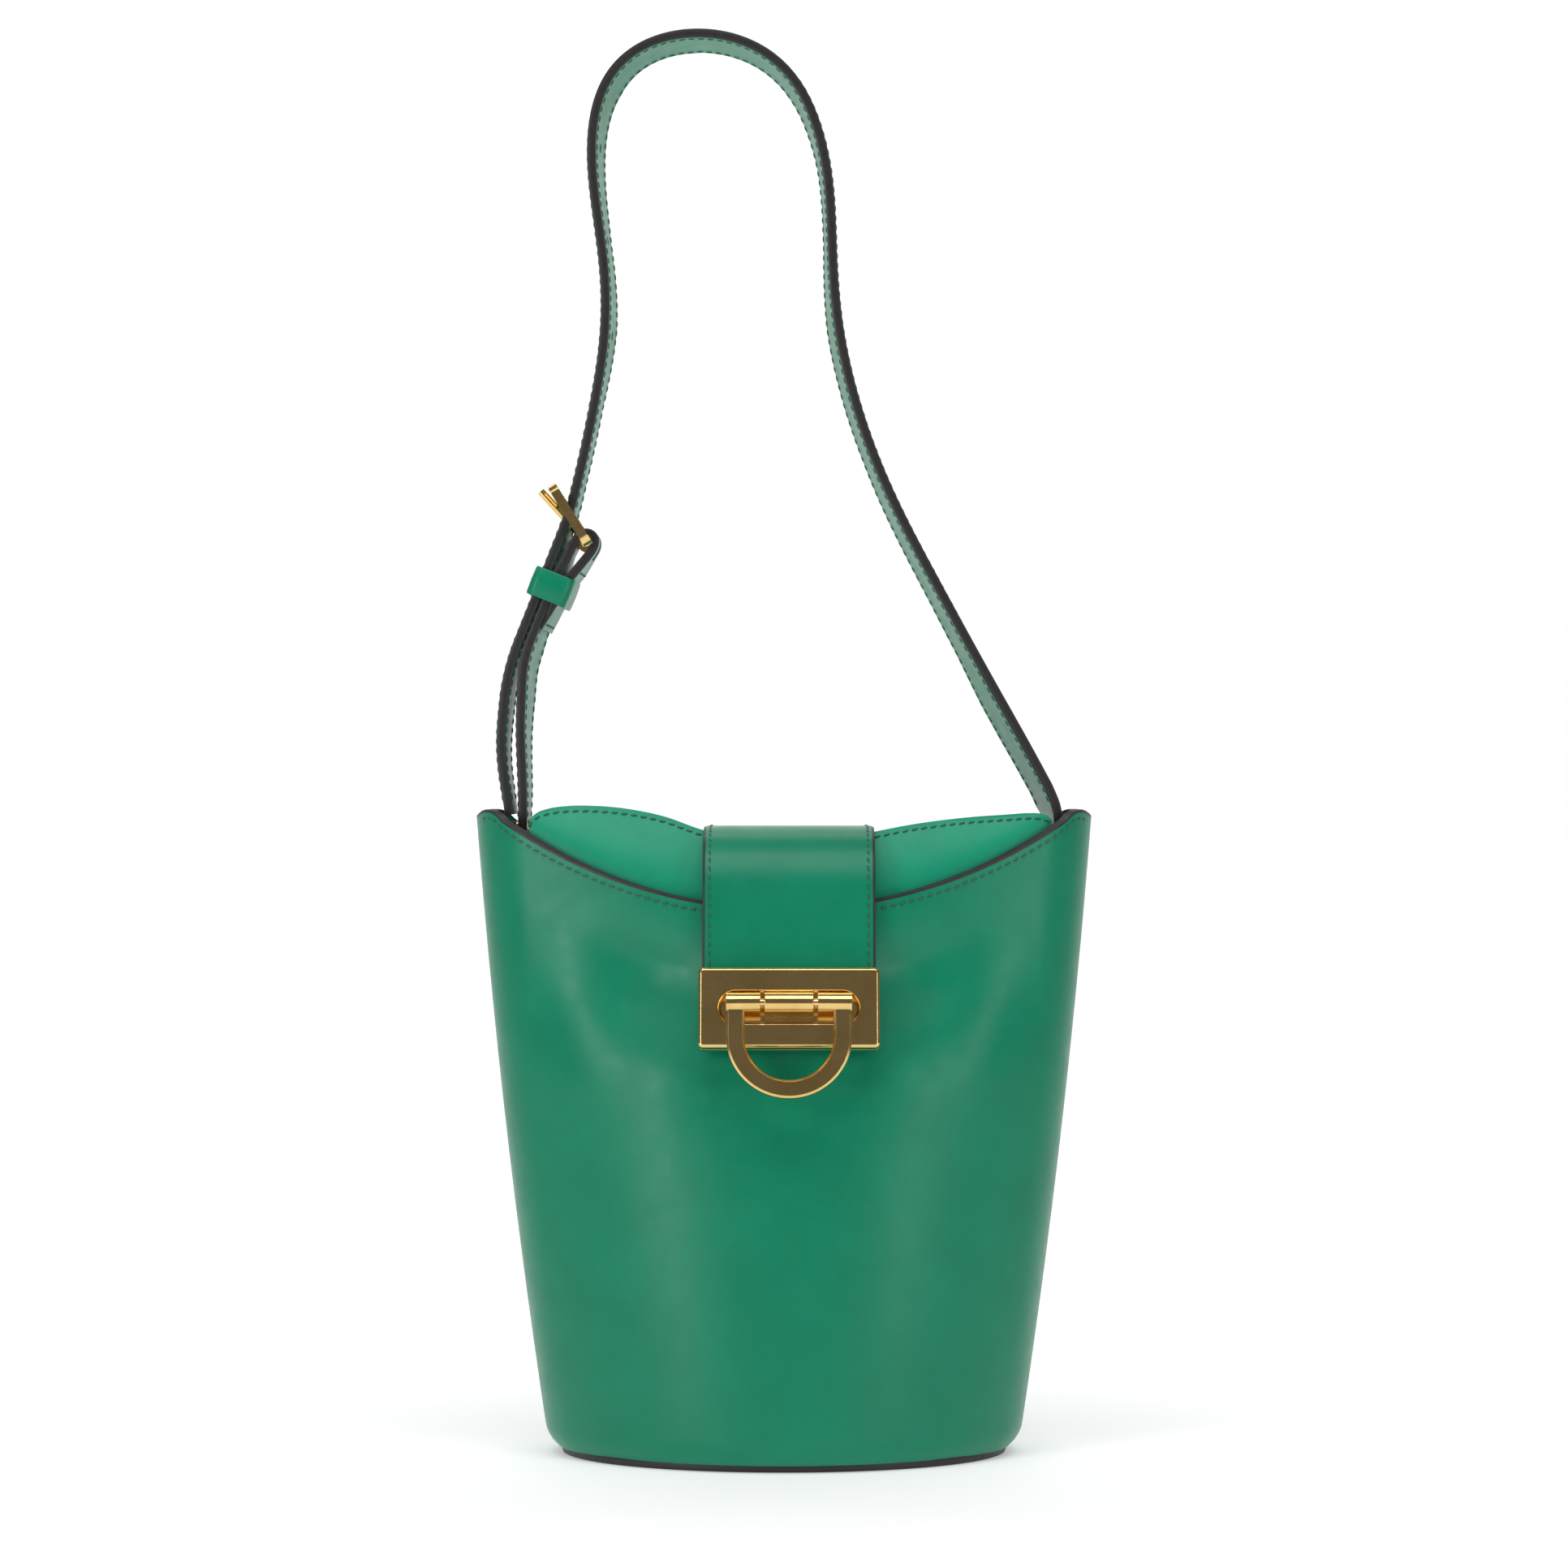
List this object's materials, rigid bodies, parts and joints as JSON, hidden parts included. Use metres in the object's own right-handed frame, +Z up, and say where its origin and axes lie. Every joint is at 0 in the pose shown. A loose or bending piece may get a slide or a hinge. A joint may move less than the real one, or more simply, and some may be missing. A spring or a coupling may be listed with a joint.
{
  "type": "bucket bag",
  "caption": "Small structured leather bucket bag with an oval base, a lobed fold-over flap with a metal clasp plate and hanging ring, and a buckled carrying strap.",
  "frame": {"origin": "centre of the base's underside", "axes": "+Z up along the height of the bag and its strap, -Y to the front with the clasp, +X to the right seen from the front"},
  "size_m": [0.1892, 0.1173, 0.4378],
  "materials": {
    "leather": "smooth box calf, soft sheen",
    "leaf_leather": "smooth box calf",
    "edge": "black painted edge",
    "lining": "suede lining",
    "board": "fibre board stiffener",
    "gold": "polished gold plate",
    "steel": "plain steel magnet"
  },
  "bodies": {
    "root": {"base_plate": "leather", "base_board": "board", "front_panel": "leather", "back_panel": "leather", "panel_magnet": "steel", "body_lining": "lining", "flap_neck": "leather", "strap_anchor_left": "gold", "strap_anchor_right": "gold", "strap_screw_left": "gold", "strap_screw_right": "gold"},
    "flap": {"flap_tab": "leather", "flap_magnet": "steel", "flap_leaf_left": "leaf_leather", "flap_leaf_right": "leaf_leather", "clasp_tray": "gold", "clasp_cap": "gold", "clasp_rivets": "gold", "clasp_block": "gold", "clasp_pin": "gold"},
    "ring": {"clasp_ring": "gold"},
    "strap": {"strap_band": "leather", "strap_chape": "leather", "buckle_frame": "gold"},
    "prong": {"buckle_prong": "gold"},
    "keeper": {"strap_keeper": "leather"}
  },
  "joints": [
    {"name": "flap_open", "type": "hinge", "parent": "root", "child": "flap", "pos_m": [0, -0.01326, 0.194], "axis": [-1, 0, 0], "range_deg": [0, 120]},
    {"name": "ring_lift", "type": "hinge", "parent": "flap", "child": "ring", "pos_m": [0, -0.05424, 0.14028], "axis": [-1, 0, 0], "range_deg": [0, 165]},
    {"name": "strap_swing", "type": "hinge", "parent": "root", "child": "strap", "pos_m": [0, 0, 0.19], "axis": [1, 0, 0], "range_deg": [-28, 9]},
    {"name": "prong_lift", "type": "hinge", "parent": "strap", "child": "prong", "pos_m": [-0.0605, 0, 0.2795], "axis": [0, -1, 0], "range_deg": [0, 7]},
    {"name": "keeper_slide", "type": "slide", "parent": "strap", "child": "keeper", "axis": [0.3714, 0, 0.9285], "range_m": [-0.006, 0.002]}
  ]
}
